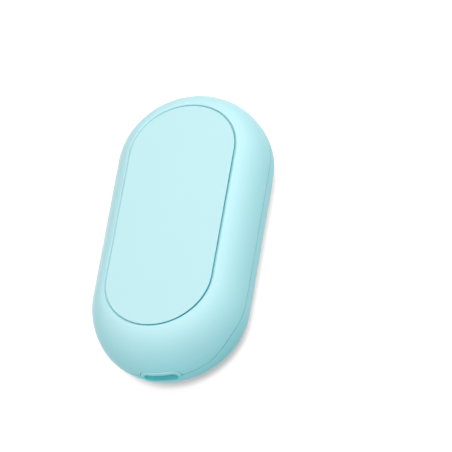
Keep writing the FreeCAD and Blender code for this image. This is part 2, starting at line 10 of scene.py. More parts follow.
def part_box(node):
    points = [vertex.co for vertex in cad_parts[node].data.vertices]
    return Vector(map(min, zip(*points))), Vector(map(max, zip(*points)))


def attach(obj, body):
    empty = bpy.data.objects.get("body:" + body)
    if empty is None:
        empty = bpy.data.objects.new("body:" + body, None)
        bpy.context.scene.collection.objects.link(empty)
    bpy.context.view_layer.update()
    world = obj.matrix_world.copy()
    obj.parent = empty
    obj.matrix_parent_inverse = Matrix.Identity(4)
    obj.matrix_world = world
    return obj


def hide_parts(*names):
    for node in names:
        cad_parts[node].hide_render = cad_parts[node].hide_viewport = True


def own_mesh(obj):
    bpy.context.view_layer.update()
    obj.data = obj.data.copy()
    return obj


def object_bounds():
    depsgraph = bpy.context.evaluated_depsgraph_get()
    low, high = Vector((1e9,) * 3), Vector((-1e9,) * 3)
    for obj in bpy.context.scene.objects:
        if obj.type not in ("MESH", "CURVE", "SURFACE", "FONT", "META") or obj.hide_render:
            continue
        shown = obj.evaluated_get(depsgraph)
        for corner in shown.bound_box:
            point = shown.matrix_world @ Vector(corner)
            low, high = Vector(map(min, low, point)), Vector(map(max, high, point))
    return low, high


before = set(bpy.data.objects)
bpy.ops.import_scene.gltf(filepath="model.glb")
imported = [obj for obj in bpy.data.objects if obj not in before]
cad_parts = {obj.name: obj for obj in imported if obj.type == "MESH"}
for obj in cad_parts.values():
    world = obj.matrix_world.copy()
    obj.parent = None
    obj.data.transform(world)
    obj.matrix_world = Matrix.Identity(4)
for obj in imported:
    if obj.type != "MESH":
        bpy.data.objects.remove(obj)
cad_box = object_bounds()

bl_info = {
    "name": "Hand Warmer Looks",
    "version": (1, 0, 0),
    "blender": (4, 5, 0),
    "location": "3D View > Sidebar > Hand Warmer",
    "description": "Finishes, inner details and studio of a pocket hand warmer",
    "category": "Object",
}

MM = 0.001
WHITE = (1.0, 1.0, 1.0, 1.0)

# Directions from the object to its lamps
KEY_DIRECTION = (1.0, 1.0, 1.0)
FILL_DIRECTION = (0.2, -1.0, 0.9)
TOP_DIRECTION = (0.0, 0.0, 1.0)
UNDER_DIRECTION = (-0.4, 0.55, -0.75)
HORIZON_BAND = 0.05  # rise of a direction, up or down, over which the light from below ends

# How far a finish's roughness swings from its middle value
MOULD_SWING = 0.04
PAINT_SWING = 0.03
CELL_SWING = 0.08
BRIGHT_LINE = 0.08
DULL_LINE = 0.1

MOULD_BUMP = 0.35  # strength of the pits in moulded plastic
EDGE_BAND = 0.35  # change in the rise of the normal over which a face turns into an edge
CELL_SHOULDER = 0.3  # distance from a cell's wall, in cells, at which it has its full height
TRACK_EDGES = (0.30, 0.34)  # distances from a track's middle, in tracks, where its copper ends
TIP_SHADE_SHARE = 0.25  # share of the light guide's height that is dark, as painted shade in the light holes
SEAL_SHADE = 0.94  # deepest tone of the bead, as a share of its colour
SEAL_STEPS = 96  # points on the bead's path
CAPACITORS_IN_ROW = 4
THREAD_SHARE = 0.6  # share of a screw's height that its thread and its free shank take
PLACE_DIGITS = 6  # decimals of a metre by which two places are told apart


# Settings

def number(label, text, default, **kind):
    return FloatProperty(name=label, description=text, default=default, **kind)


def share(label, text, default):
    return number(label, text, default, min=0.0, max=1.0, subtype="FACTOR")


def length(label, text, default):
    return number(label, text, default, unit="LENGTH", precision=5)


def angle(label, text, default):
    return number(label, text, math.radians(default), subtype="ANGLE")


def watts(label, text, default):
    return number(label, text, default, unit="POWER")


def colour(label, text, default):
    return FloatVectorProperty(
        name=label, description=text, default=(*default, 1.0), size=4, min=0.0, max=1.0,
        subtype="COLOR",
    )


class WarmerFinish(PropertyGroup):
    """Colours and surface values of the outside."""

    casing: colour("Casing", "Colour of the moulded casing", (0.53, 0.795, 0.83))
    casing_deep: colour("Casing, deep", "Deepest tone of the casing", (0.515, 0.785, 0.822))
    plate: colour("Plate", "Colour of the painted heating plate", (0.522, 0.764, 0.798))
    plate_deep: colour("Plate, deep", "Deepest tone of the plate", (0.507, 0.757, 0.792))
    # Groove: painted shade, a dark teal on the plate's upright edges down in its groove
    groove: colour("Groove", "Colour of the plate's edge, in its groove", (0.05, 0.42, 0.46))
    # Crevice: painted shade, a deeper teal laid along the seam
    crevice: colour("Crevice", "Casing colour down in the seam", (0.14, 0.50, 0.53))
    # Recess: painted shade, a deeper teal on the walls inside the charging slot
    recess: colour("Recess", "Casing colour inside the charging slot", (0.20, 0.74, 0.77))
    seal: colour("Seal", "Colour of the bead between plate and casing", (0.42, 0.76, 0.80))
    # Button edge: painted shade, a dark teal on the sides of the button and of its sign
    button_edge: colour("Button edge", "Sides of the button and of its sign", (0.10, 0.50, 0.55))
    # Sign: painted shade, a darker tone on the raised sign's face
    sign: colour("Sign", "Colour of the raised power sign's face", (0.43, 0.72, 0.76))
    sign_raise: length("Sign height", "How far the sign stands out of the button", 0.2 * MM)
    # Lamp tip: painted shade, the dark teal of the light guide's ends in the light holes
    lamp_tip: colour("Lamp tip", "Colour of the light guide's smoked ends", (0.008, 0.05, 0.06))
    guide: colour("Light guide", "Light guide's colour inside the casing", (0.74, 0.81, 0.83))
    casing_rough: share("Casing roughness", "Middle roughness of the casing", 0.5)
    plate_rough: share("Plate roughness", "Middle roughness of the plate", 0.46)
    shine: share("Shine", "Strength of the mirror reflections on casing and plate", 0.2)
    grain_size: length("Grain size", "Width of one pit of the casing's fine texture", 0.25 * MM)
    patch_size: length("Patch size", "Width of the soft changes in tone", 18 * MM)
    seam_height: length("Seam height", "Height of the seam along the sides", 12.5 * MM)
    seam_end_height: length("Seam end height", "Height of the seam at the socket", 9.4 * MM)
    seam_dip_start: length("Seam dip start", "Lengthwise, where the seam is lowest", -50.45 * MM)
    seam_dip_end: length("Seam dip end", "Lengthwise, where the seam is level", -37.45 * MM)
    # Seam line: half width of the painted shade along the seam
    seam_line: length("Seam line", "Half the width of the dark line at the seam", 0.16 * MM)
    slot_width: length("Slot width", "Half the width of the charging slot", 5.85 * MM)
    slot_tall: length("Slot height", "Half the height of the charging slot", 2.05 * MM)
    slot_lip: length("Slot lip", "Depth of the lip that keeps the casing's colour", 0.4 * MM)
    seal_gap: length("Seal width", "Width of the gap round the plate", 0.45 * MM)
    seal_depth: length("Seal depth", "Middle depth of the bead's top below the plate", 0.6 * MM)
    seal_swing: length("Seal swing", "How much deeper the bead lies at its deepest", 0.2 * MM)
    seal_side: angle("Seal side", "Direction in which the bead lies deepest", -12)
    seal_ends: share("Seal ends", "Share of the swing by which the bead's ends rise", 0.4)
    seal_tall: length("Seal height", "Height of the bead", 0.3 * MM)


class WarmerDetail(PropertyGroup):
    """Sizes of the small parts inside."""

    trace_width: length("Trace width", "Width of the heater's etched trace", 1.4 * MM)
    trace_thick: length("Trace thickness", "Thickness of the heater's trace", 0.035 * MM)
    trace_pitch: length("Trace pitch", "Distance between the trace's rows", 2.4 * MM)
    trace_margin: length("Trace margin", "Film left free round the trace", 2.0 * MM)
    trace_turn: length("Trace turn", "Radius of the trace's turns", 0.9 * MM)
    thread_pitch: length("Thread pitch", "Rise of the screws' threads in one turn", 0.9 * MM)
    thread_depth: length("Thread depth", "How far threads stand out of their shanks", 0.16 * MM)
    screw_head: length("Screw head", "Radius of the screws' heads", 1.9 * MM)
    screw_shank: length("Screw shank", "Radius of the screws' shanks", 0.95 * MM)
    shell_screw_free: length("Free shank", "Length without thread under a head", 2.4 * MM)
    lead_radius: length("Lead", "Radius of the thick leads", 0.6 * MM)
    sensor_lead_radius: length("Sensor lead", "Radius of the sensor's leads", 0.3 * MM)
    solder_share: number("Solder foot", "Foot of a solder joint, in radii of its lead", 1.35)
    solder_rise: number("Solder rise", "Height of a solder joint, in radii of its lead", 1.5)
    chip_cap_width: length("Capacitor width", "Width of one capacitor", 1.6 * MM)
    chip_cap_length: length("Capacitor length", "Length of one capacitor", 3.2 * MM)
    cap_end: length("Capacitor end", "Length of a capacitor's metal end", 0.6 * MM)
    cap_round: length("Capacitor round", "Rounding of a capacitor's metal end", 0.15 * MM)
    plating: length("Plating", "How far a metal end stands out of its block", 0.02 * MM)
    lamp_depth: length("Lamp depth", "Size of a lamp along the casing", 0.8 * MM)
    lamp_width: length("Lamp width", "Size of a lamp across the casing", 1.6 * MM)
    lamp_window: length("Lamp window", "Radius of a lamp's lit face", 0.32 * MM)
    fold_thick: length("Fold thickness", "Thickness of the cell's folded seam", 0.12 * MM)
    fold_tall: length("Fold height", "Height of the cell's folded seam", 4.2 * MM)
    fold_inset: length("Fold inset", "Length left free at the ends of the seam", 1.2 * MM)
    terrace: length("Terrace", "Length of the taped end of the cell", 5.0 * MM)
    dome_left: share("Dome left", "Share of its height that the pressed dome keeps", 0.25)


class WarmerStage(PropertyGroup):
    """Camera, floor and lamps."""

    azimuth: angle("Azimuth", "Camera's turn round the object", 31.2595)
    elevation: angle("Elevation", "Camera's height above the floor's plane", 51.0628)
    roll: angle("Roll", "Camera's turn about its own line of sight", -27.9264)
    distance: length("Distance", "Camera to the middle of the object", 2.08835)
    lens: number("Lens", "Focal length", 511.54, unit="CAMERA")
    aim_right: length("Aim right", "Picture's middle, right of the object's", 14.238 * MM)
    aim_up: length("Aim up", "Picture's middle, above the object's", 3.42 * MM)
    floor_size: length("Floor", "Side of the square floor", 4.0)
    floor_drop: length("Floor drop", "Floor's surface under the object", 0.3 * MM)
    foot_width: length("Foot width", "Half the width of the object's flat foot", 18 * MM)
    foot_length: length("Foot length", "Half the length of the object's flat foot", 44.25 * MM)
    floor_tone: colour("Floor tone", "Colour of the floor", (0.87, 0.62, 0.60))
    floor_glow: number("Floor glow", "White that the floor adds for the camera", 0.5)
    # Shade glow and its ends: painted shadow, the floor's glow drops close to the object's foot,
    # deepening its real shadow
    shade_glow: number("Shade glow", "White that the floor adds close to the object", 0.1)
    shade_start: length("Shade start", "Distance from the foot where the shade thins", 4 * MM)
    shade_end: length("Shade end", "Distance from the foot where the shade is gone", 6.5 * MM)
    bounce: colour("Bounce", "Colour of the light from below", (0.12, 0.78, 0.84))
    ambient: colour("Ambient", "Colour of the light from overhead", (1.0, 1.0, 1.0))
    horizon: colour("Horizon", "Colour of the light from the sides", (0.55, 0.98, 1.0))
    horizon_top: share("Horizon top", "Rise of a direction where the overhead colour begins", 0.7)
    ambient_level: number("Ambient level", "Strength of the light from all round", 0.585)
    key_power: watts("Key power", "Power of the near lamp at the right of the far end", 0.36)
    key_size: length("Key size", "Side of the near lamp", 0.24)
    key_distance: length("Key distance", "Near lamp to the object", 0.32)
    fill_power: watts("Fill power", "Power of the lamp in front of the socket's end", 1.8)
    top_power: watts("Top power", "Power of the lamp overhead", 1.7)
    under_power: watts("Under power", "Power of the lamp below", 7.2)
    under_colour: colour("Under colour", "Colour of the lamp below", (1.0, 0.78, 0.75))
    lamp_size: length("Lamp size", "Side of each far lamp", 0.6)
    lamp_distance: length("Lamp distance", "Each far lamp to the object", 0.8)


# Node helpers

def link(tree, source, target):
    tree.links.new(source, target)


def node(tree, kind, inputs=None, **values):
    """Adds a node, sets its named properties, and sets or links its inputs."""
    made = tree.nodes.new(kind)
    for key, value in values.items():
        setattr(made, key, value)
    for key, value in (inputs or {}).items():
        if isinstance(value, bpy.types.NodeSocket):
            link(tree, value, made.inputs[key])
        else:
            made.inputs[key].default_value = value
    return made


def tree_from(maker):
    """The node tree that a maker builds, named after it and built at its first use."""
    name = maker.__name__.replace("_", " ").capitalize()
    return bpy.data.node_groups.get(name) or maker(name)


def empty_tree(owner):
    """The node tree of a material or a world, with nothing in it."""
    owner.use_nodes = True
    owner.node_tree.nodes.clear()
    return owner.node_tree


def math_node(tree, operation, first, second=0.0):
    return node(tree, "ShaderNodeMath", {0: first, 1: second}, operation=operation).outputs[0]


def apart(tree, first, second):
    return math_node(tree, "ABSOLUTE", math_node(tree, "SUBTRACT", first, second))


def spread(tree, value, low, high, start=0.0, end=1.0, **kind):
    """Maps a value between start and end to a range."""
    ends = {"Value": value, "From Min": start, "From Max": end, "To Min": low, "To Max": high}
    return node(tree, "ShaderNodeMapRange", ends, **kind).outputs["Result"]


def swing(tree, mask, middle, reach):
    return spread(tree, mask, middle - reach, middle + reach)


def two_colours(tree, mask, first, second):
    colours = {"Factor": mask, "A": first, "B": second}
    return node(tree, "ShaderNodeMix", colours, data_type="RGBA").outputs["Result"]


def vector_from(tree, **parts):
    return node(tree, "ShaderNodeCombineXYZ", parts).outputs[0]


def axes_of(tree, vector):
    return node(tree, "ShaderNodeSeparateXYZ", {"Vector": vector}).outputs


def object_axes(tree):
    return axes_of(tree, node(tree, "ShaderNodeTexCoord").outputs["Object"])


# Shared shader effects, each a node group

def group_tree(name, inputs, outputs):
    """A shader node group with its sockets, its entry and its object coordinates."""
    tree = bpy.data.node_groups.new(name, "ShaderNodeTree")
    for label, default in inputs.items():
        socket = tree.interface.new_socket(label, in_out="INPUT", socket_type="NodeSocketFloat")
        socket.default_value = default
    for label in outputs:
        tree.interface.new_socket(label, in_out="OUTPUT", socket_type="NodeSocketFloat")
    entry = node(tree, "NodeGroupInput")
    place = node(tree, "ShaderNodeTexCoord").outputs["Object"]
    return tree, entry.outputs, place


def close_group(tree, **outputs):
    node(tree, "NodeGroupOutput", outputs)
    return tree


def per_length(tree, size):
    return math_node(tree, "DIVIDE", 1.0, size)


def moulded_grain(name):
    """Fine pits of a textured mould, and soft patches of tone and polish."""
    sizes = {"Grain": 0.25 * MM, "Patch": 18 * MM}
    tree, entry, place = group_tree(name, sizes, ("Height", "Patches"))
    pits = {"Vector": place, "Scale": per_length(tree, entry["Grain"])}
    patches = {"Vector": place, "Scale": per_length(tree, entry["Patch"]), "Detail": 3.0}
    fine = node(tree, "ShaderNodeTexVoronoi", pits, feature="SMOOTH_F1").outputs["Distance"]
    soft = node(tree, "ShaderNodeTexNoise", patches).outputs["Fac"]
    return close_group(tree, Height=fine, Patches=soft)


def rolled_lines(name):
    """Fine lines along the length, as rolling, drawing or brushing leaves them, and stains."""
    sizes = {"Across": 0.05 * MM, "Along": 2 * MM}
    tree, entry, place = group_tree(name, sizes, ("Lines", "Stains"))
    across, along = per_length(tree, entry["Across"]), per_length(tree, entry["Along"])
    pair = {0: place, 1: vector_from(tree, X=across, Y=along, Z=across)}
    pulled = node(tree, "ShaderNodeVectorMath", pair, operation="MULTIPLY").outputs[0]
    lines = {"Vector": pulled, "Scale": 1.0, "Detail": 4.0}
    stains = {"Vector": place, "Scale": along, "Detail": 2.0}
    fine = node(tree, "ShaderNodeTexNoise", lines).outputs["Fac"]
    soft = node(tree, "ShaderNodeTexNoise", stains).outputs["Fac"]
    return close_group(tree, Lines=fine, Stains=soft)


def closed_cells(name):
    """Rounded cells of a foam or a sinter, with a speckle of odd cells."""
    tree, entry, place = group_tree(name, {"Cell": 0.3 * MM}, ("Height", "Speckle"))
    cells = {"Vector": place, "Scale": per_length(tree, entry["Cell"])}
    walls = node(tree, "ShaderNodeTexVoronoi", cells, feature="DISTANCE_TO_EDGE")
    odd = node(tree, "ShaderNodeTexVoronoi", cells, feature="F1")
    parts = node(tree, "ShaderNodeSeparateColor", {"Color": odd.outputs["Color"]})
    height = spread(tree, walls.outputs["Distance"], 0.0, 1.0, end=CELL_SHOULDER)
    return close_group(tree, Height=height, Speckle=parts.outputs["Red"])


def place_band(name):
    """Soft step along the length and along the height."""
    ends = {"Start": 0.0, "End": 0.1 * MM}
    tree, entry, place = group_tree(name, ends, ("Along", "Up"))
    axes = axes_of(tree, place)
    along = spread(tree, axes["Y"], 0.0, 1.0, entry["Start"], entry["End"])
    up = spread(tree, axes["Z"], 0.0, 1.0, entry["Start"], entry["End"])
    return close_group(tree, Along=along, Up=up)


def copper_tracks(name):
    """Square patches and gaps, as copper under solder mask shows them, and the glass weave."""
    tree, entry, place = group_tree(name, {"Track": 1.1 * MM}, ("Copper", "Weave"))
    blocks = {"Vector": place, "Scale": per_length(tree, entry["Track"])}
    threads = {**blocks, "Distortion": 1.5, "Detail": 1.0}
    squares = node(tree, "ShaderNodeTexVoronoi", blocks, distance="CHEBYCHEV")
    copper = spread(tree, squares.outputs["Distance"], 1.0, 0.0, *TRACK_EDGES)
    weave = node(tree, "ShaderNodeTexWave", threads).outputs["Fac"]
    return close_group(tree, Copper=copper, Weave=weave)


def effect(tree, maker, **sizes):
    """Places a shared effect with its own sizes."""
    inputs = {key.capitalize(): value for key, value in sizes.items()}
    return node(tree, "ShaderNodeGroup", inputs, node_tree=tree_from(maker)).outputs


# Materials

def tones(first, second):
    """Two opaque colours, between which a finish varies."""
    return (*first, 1.0), (*second, 1.0)


def blank_material(name, plain=None):
    """A material that holds only its output and a Principled shader with its plain values."""
    material = bpy.data.materials.new(name)
    tree = empty_tree(material)
    shader = node(tree, "ShaderNodeBsdfPrincipled", plain)
    node(tree, "ShaderNodeOutputMaterial", {"Surface": shader.outputs["BSDF"]})
    return material, tree, shader


def feed(tree, shader, base, rough, height, depth, strength):
    """Links a varying colour, a varying roughness and a height to the shader."""
    link(tree, base, shader.inputs["Base Color"])
    link(tree, rough, shader.inputs["Roughness"])
    bump = {"Height": height, "Distance": depth, "Strength": strength}
    link(tree, node(tree, "ShaderNodeBump", bump).outputs["Normal"], shader.inputs["Normal"])


def moulded_plastic(name, colours, rough, grain=0.2 * MM, patch=4 * MM, pit_depth=0.01 * MM):
    """Satin moulded plastic or resin: fine pits, and soft patches in tone and polish."""
    material, tree, shader = blank_material(name)
    mould = effect(tree, moulded_grain, grain=grain, patch=patch)
    base = two_colours(tree, mould["Patches"], *colours)
    polish = swing(tree, mould["Patches"], rough, MOULD_SWING)
    feed(tree, shader, base, polish, mould["Height"], pit_depth, MOULD_BUMP)
    return material


def casing_plastic(name, look):
    """Satin casing plastic, with painted shade: a deeper tone down in the seam and inside the
    charging slot.
    """
    material, tree, shader = blank_material(name, {"Specular IOR Level": look.shine})
    mould = effect(tree, moulded_grain, grain=look.grain_size, patch=look.patch_size)
    plain = two_colours(tree, mould["Patches"], look.casing, look.casing_deep)
    axes = object_axes(tree)
    # Painted shade: a line of deeper tone along the seam, whose height dips towards the socket
    seam = spread(
        tree, axes["Y"], look.seam_end_height, look.seam_height,
        look.seam_dip_start, look.seam_dip_end, interpolation_type="SMOOTHSTEP",
    )
    off_seam = apart(tree, axes["Z"], seam)
    seam_shade_mask = spread(tree, off_seam, 1.0, 0.0, look.seam_line / 2, look.seam_line)
    with_seam_shade = two_colours(tree, seam_shade_mask, plain, look.crevice)
    # Painted shade: a deeper tone on the walls inside the charging slot, past its lip
    off_slot = apart(tree, axes["Z"], look.seam_end_height)
    across = math_node(tree, "LESS_THAN", math_node(tree, "ABSOLUTE", axes["X"]), look.slot_width)
    level = math_node(tree, "LESS_THAN", off_slot, look.slot_tall)
    near_end = math_node(tree, "LESS_THAN", axes["Y"], 0.0)
    slot_shade_region = math_node(tree, "MULTIPLY", math_node(tree, "MULTIPLY", across, level), near_end)
    lip = cad_box[0].y + look.slot_lip
    past_lip = spread(tree, axes["Y"], 0.0, 1.0, lip, lip + look.slot_lip)
    base = two_colours(tree, math_node(tree, "MULTIPLY", slot_shade_region, past_lip), with_seam_shade, look.recess)
    polish = swing(tree, mould["Patches"], look.casing_rough, MOULD_SWING)
    feed(tree, shader, base, polish, mould["Height"], depth=0.02 * MM, strength=MOULD_BUMP)
    return material


def edged_satin(name, look, faces, edge, rough, patch, level_rise, shaded_low_face=None):
    """Satin skin with a fine orange peel, with painted shade: darker colours on its upright edges
    and on a low face.
    """
    material, tree, shader = blank_material(name, {"Specular IOR Level": look.shine})
    mould = effect(tree, moulded_grain, grain=look.grain_size, patch=patch)
    skin = two_colours(tree, mould["Patches"], *faces)
    # Painted shade: the low face, such as the sign's, takes its own darker colour
    if shaded_low_face:
        tone, start, end = shaded_low_face
        skin = two_colours(tree, effect(tree, place_band, start=start, end=end)["Up"], tone, skin)
    rise = axes_of(tree, node(tree, "ShaderNodeTexCoord").outputs["Normal"])["Z"]
    level = math_node(tree, "ABSOLUTE", rise)
    # Painted shade: faces far from level take the edge colour
    edge_shade_mask = spread(tree, level, 1.0, 0.0, level_rise - EDGE_BAND, level_rise)
    base = two_colours(tree, edge_shade_mask, skin, edge)
    polish = swing(tree, mould["Patches"], rough, PAINT_SWING)
    feed(tree, shader, base, polish, mould["Height"], depth=0.012 * MM, strength=0.3)
    return material


def shade_tipped_guide(name, look):
    """Clear acrylic, dark at the ends that stand in the light holes: painted shade in the holes.
    """
    clear = {"Transmission Weight": 0.25, "IOR": 1.49}
    material, tree, shader = blank_material(name, clear)
    low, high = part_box("light_guide")
    clear_start = low.z + (high.z - low.z) * TIP_SHADE_SHARE
    # Painted shade: the guide's lower share takes the dark tip colour
    inside = effect(tree, place_band, start=low.z, end=clear_start)["Up"]
    mould = effect(tree, moulded_grain, grain=0.4 * MM, patch=2 * MM)
    base = two_colours(tree, inside, look.lamp_tip, look.guide)
    polish = spread(tree, mould["Patches"], low=0.12, high=0.24)
    feed(tree, shader, base, polish, mould["Height"], depth=0.004 * MM, strength=0.2)
    return material


def worked_metal(name, colours, rough, across=0.05 * MM, along=1.5 * MM):
    """Plated or rolled metal: fine lines of polish along the length, and soft stains in tone."""
    material, tree, shader = blank_material(name, {"Metallic": 1.0})
    rolled = effect(tree, rolled_lines, across=across, along=along)
    base = two_colours(tree, rolled["Stains"], *colours)
    polish = spread(tree, rolled["Lines"], rough - BRIGHT_LINE, rough + DULL_LINE)
    feed(tree, shader, base, polish, rolled["Lines"], depth=0.004 * MM, strength=0.4)
    return material


def cellular(name, colours, rough, cell, depth):
    """Foam, foam tape, ferrite or ceramic: cells or grains, with odd ones of another tone."""
    material, tree, shader = blank_material(name)
    cells = effect(tree, closed_cells, cell=cell)
    base = two_colours(tree, cells["Speckle"], *colours)
    polish = swing(tree, cells["Speckle"], rough, CELL_SWING)
    feed(tree, shader, base, polish, cells["Height"], depth, strength=0.6)
    return material


def masked_laminate(name):
    """Green solder mask over copper, with the glass weave faint in its polish."""
    material, tree, shader = blank_material(name, {"Coat Weight": 0.3})
    tracks = effect(tree, copper_tracks, track=1.3 * MM)
    greens = tones((0.012, 0.09, 0.045), (0.03, 0.19, 0.085))
    base = two_colours(tree, tracks["Copper"], *greens)
    polish = spread(tree, tracks["Weave"], low=0.28, high=0.4)
    feed(tree, shader, base, polish, tracks["Copper"], depth=0.03 * MM, strength=0.7)
    return material


def pouch_foil(name, detail):
    """Crinkled laminate foil of the cell, with amber film over its taped end."""
    material, tree, shader = blank_material(name)
    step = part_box("battery_cell")[0].y + detail.terrace
    bare = effect(tree, place_band, start=step - 0.05 * MM, end=step)["Along"]
    creases = effect(tree, moulded_grain, grain=2.2 * MM, patch=9 * MM)
    ambers = tones((0.52, 0.27, 0.05), (0.58, 0.31, 0.07))
    greys = tones((0.58, 0.59, 0.61), (0.68, 0.69, 0.71))
    film = two_colours(tree, creases["Patches"], *ambers)
    foil = two_colours(tree, creases["Patches"], *greys)
    polish = spread(tree, creases["Patches"], low=0.26, high=0.42)
    base = two_colours(tree, bare, film, foil)
    feed(tree, shader, base, polish, creases["Height"], depth=0.05 * MM, strength=0.45)
    link(tree, bare, shader.inputs["Metallic"])
    return material


def amber_film(name):
    """Glossy polyimide film over its adhesive, with faint roller lines."""
    material, tree, shader = blank_material(name, {"Coat Weight": 0.5})
    rolled = effect(tree, rolled_lines, across=0.3 * MM, along=6 * MM)
    ambers = tones((0.50, 0.20, 0.03), (0.62, 0.30, 0.06))
    base = two_colours(tree, rolled["Stains"], *ambers)
    polish = spread(tree, rolled["Lines"], low=0.16, high=0.32)
    feed(tree, shader, base, polish, rolled["Lines"], depth=0.006 * MM, strength=0.3)
    return material


def shared(maker, name, *values, **sizes):
    """A material that several groups use, made at its first use."""
    return bpy.data.materials.get(name) or maker(name, *values, **sizes)


def black_resin():
    blacks = tones((0.012, 0.013, 0.014), (0.022, 0.023, 0.025))
    return shared(moulded_plastic, "black_resin", blacks, rough=0.55)


def board_green():
    return shared(masked_laminate, "board_mask")


def bright_tin():
    greys = tones((0.62, 0.62, 0.61), (0.72, 0.72, 0.71))
    return shared(worked_metal, "tin_plating", greys, rough=0.3)


def pad_foam():
    greys = tones((0.06, 0.06, 0.064), (0.11, 0.11, 0.116))
    return shared(cellular, "pad_foam", greys, rough=0.85, cell=0.35 * MM, depth=0.08 * MM)


def foam_tape():
    whites = tones((0.64, 0.63, 0.60), (0.76, 0.75, 0.72))
    return shared(cellular, "foam_tape", whites, rough=0.8, cell=0.2 * MM, depth=0.03 * MM)


def dress(material, *names):
    """Gives CAD nodes their one material."""
    for name in names:
        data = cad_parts[name].data
        data.materials.clear()
        data.materials.append(material)


# Small parts that repeat or follow a path, grown by geometry nodes

def shape_tree(name, sizes):
    """A geometry node tree with inputs for its sizes and its material, and its entry."""
    tree = bpy.data.node_groups.new(name, "GeometryNodeTree")
    tree.interface.new_socket("Geometry", in_out="INPUT", socket_type="NodeSocketGeometry")
    for label in sizes:
        tree.interface.new_socket(label, in_out="INPUT", socket_type="NodeSocketFloat")
    tree.interface.new_socket("Material", in_out="INPUT", socket_type="NodeSocketMaterial")
    tree.interface.new_socket("Geometry", in_out="OUTPUT", socket_type="NodeSocketGeometry")
    return tree, node(tree, "NodeGroupInput").outputs


def close_tree(tree, entry, shape):
    """Ends a tree: instances made real, then the material."""
    real = node(tree, "GeometryNodeRealizeInstances", {"Geometry": shape}).outputs[0]
    pair = {"Geometry": real, "Material": entry["Material"]}
    return close_group(tree, Geometry=node(tree, "GeometryNodeSetMaterial", pair).outputs[0])


def curve(tree, kind, inputs, **values):
    return node(tree, "GeometryNode" + kind, inputs, **values).outputs["Curve"]


def rounded(tree, path, radius, points):
    corners = {"Curve": path, "Radius": radius, "Limit Radius": True, "Count": points}
    return curve(tree, "FilletCurve", corners, mode="POLY")


def upright(tree, path):
    return curve(tree, "SetCurveNormal", {"Curve": path}, mode="Z_UP")


def oblong(tree, entry):
    sides = {"Width": entry["Width"], "Height": entry["Height"]}
    return curve(tree, "CurvePrimitiveQuadrilateral", sides)


def swept(tree, path, profile, scale=1.0):
    pair = {"Curve": path, "Profile Curve": profile, "Scale": scale, "Fill Caps": True}
    return node(tree, "GeometryNodeCurveToMesh", pair).outputs["Mesh"]


def close_on_points(tree, entry, shape):
    """Ends a tree with one shape on each point."""
    pair = {"Points": entry["Geometry"], "Instance": shape}
    copies = node(tree, "GeometryNodeInstanceOnPoints", pair).outputs["Instances"]
    return close_tree(tree, entry, copies)


def flat_strip(name):
    """Flat strip along a path of edges, with rounded turns."""
    tree, entry = shape_tree(name, ("Width", "Height", "Turn"))
    path = curve(tree, "MeshToCurve", {"Mesh": entry["Geometry"]})
    soft = rounded(tree, path, entry["Turn"], points=5)
    return close_tree(tree, entry, swept(tree, upright(tree, soft), oblong(tree, entry)))


def screw_thread(name):
    """Thread wound round a shank, one on each point, rising from it."""
    tree, entry = shape_tree(name, ("Radius", "Depth", "Rise", "Turns"))
    coil = {
        "Resolution": 24, "Rotations": entry["Turns"], "Start Radius": entry["Radius"],
        "End Radius": entry["Radius"], "Height": entry["Rise"],
    }
    path = curve(tree, "CurveSpiral", coil)
    ridge = curve(tree, "CurvePrimitiveCircle", {"Resolution": 3, "Radius": entry["Depth"]})
    return close_on_points(tree, entry, swept(tree, path, ridge))


def metal_end(name):
    """Rounded metal sleeve, one on each point, lying along the length."""
    tree, entry = shape_tree(name, ("Width", "Height", "Length", "Round"))
    profile = rounded(tree, oblong(tree, entry), entry["Round"], points=4)
    half = math_node(tree, "MULTIPLY", entry["Length"], 0.5)
    near = vector_from(tree, Y=math_node(tree, "MULTIPLY", half, -1.0))
    far = vector_from(tree, Y=half)
    line = curve(tree, "CurvePrimitiveLine", {"Start": near, "End": far})
    return close_on_points(tree, entry, swept(tree, upright(tree, line), profile))


def solder_joint(name):
    """Solder joint that climbs a lead, or a lamp's window: one on each point, wide at its foot."""
    tree, entry = shape_tree(name, ("Foot", "Top", "Rise"))
    line = curve(tree, "CurvePrimitiveLine", {"End": vector_from(tree, Z=entry["Rise"])})
    steps = curve(tree, "ResampleCurve", {"Curve": line, "Count": 7})
    climb = node(tree, "GeometryNodeSplineParameter").outputs["Factor"]
    left = math_node(tree, "SUBTRACT", 1.0, climb)
    flare = math_node(tree, "MULTIPLY", left, left)
    spare = math_node(tree, "SUBTRACT", entry["Foot"], entry["Top"])
    radius = math_node(tree, "ADD", entry["Top"], math_node(tree, "MULTIPLY", flare, spare))
    unit = curve(tree, "CurvePrimitiveCircle", {"Resolution": 20, "Radius": 1.0})
    return close_on_points(tree, entry, swept(tree, steps, unit, radius))


def grown(name, places, maker, sizes, material, edges=()):
    """Grows a tree on points or edges, keeps the plain mesh, and fixes it to the casing."""
    tree = tree_from(maker)
    seed = bpy.data.meshes.new(name)
    seed.from_pydata(places, edges, [])
    piece = bpy.data.objects.new(name, seed)
    bpy.context.scene.collection.objects.link(piece)
    modifier = piece.modifiers.new(name, "NODES")
    modifier.node_group = tree
    values = {**sizes, "Material": material}
    for socket in tree.interface.items_tree:
        if socket.in_out == "INPUT" and socket.name in values:
            modifier[socket.identifier] = values[socket.name]
    evaluated = piece.evaluated_get(bpy.context.evaluated_depsgraph_get())
    shape = bpy.data.meshes.new_from_object(evaluated)
    piece.modifiers.clear()
    piece.data = shape
    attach(piece, "casing")
    return piece


# Operators, one for each group of pieces

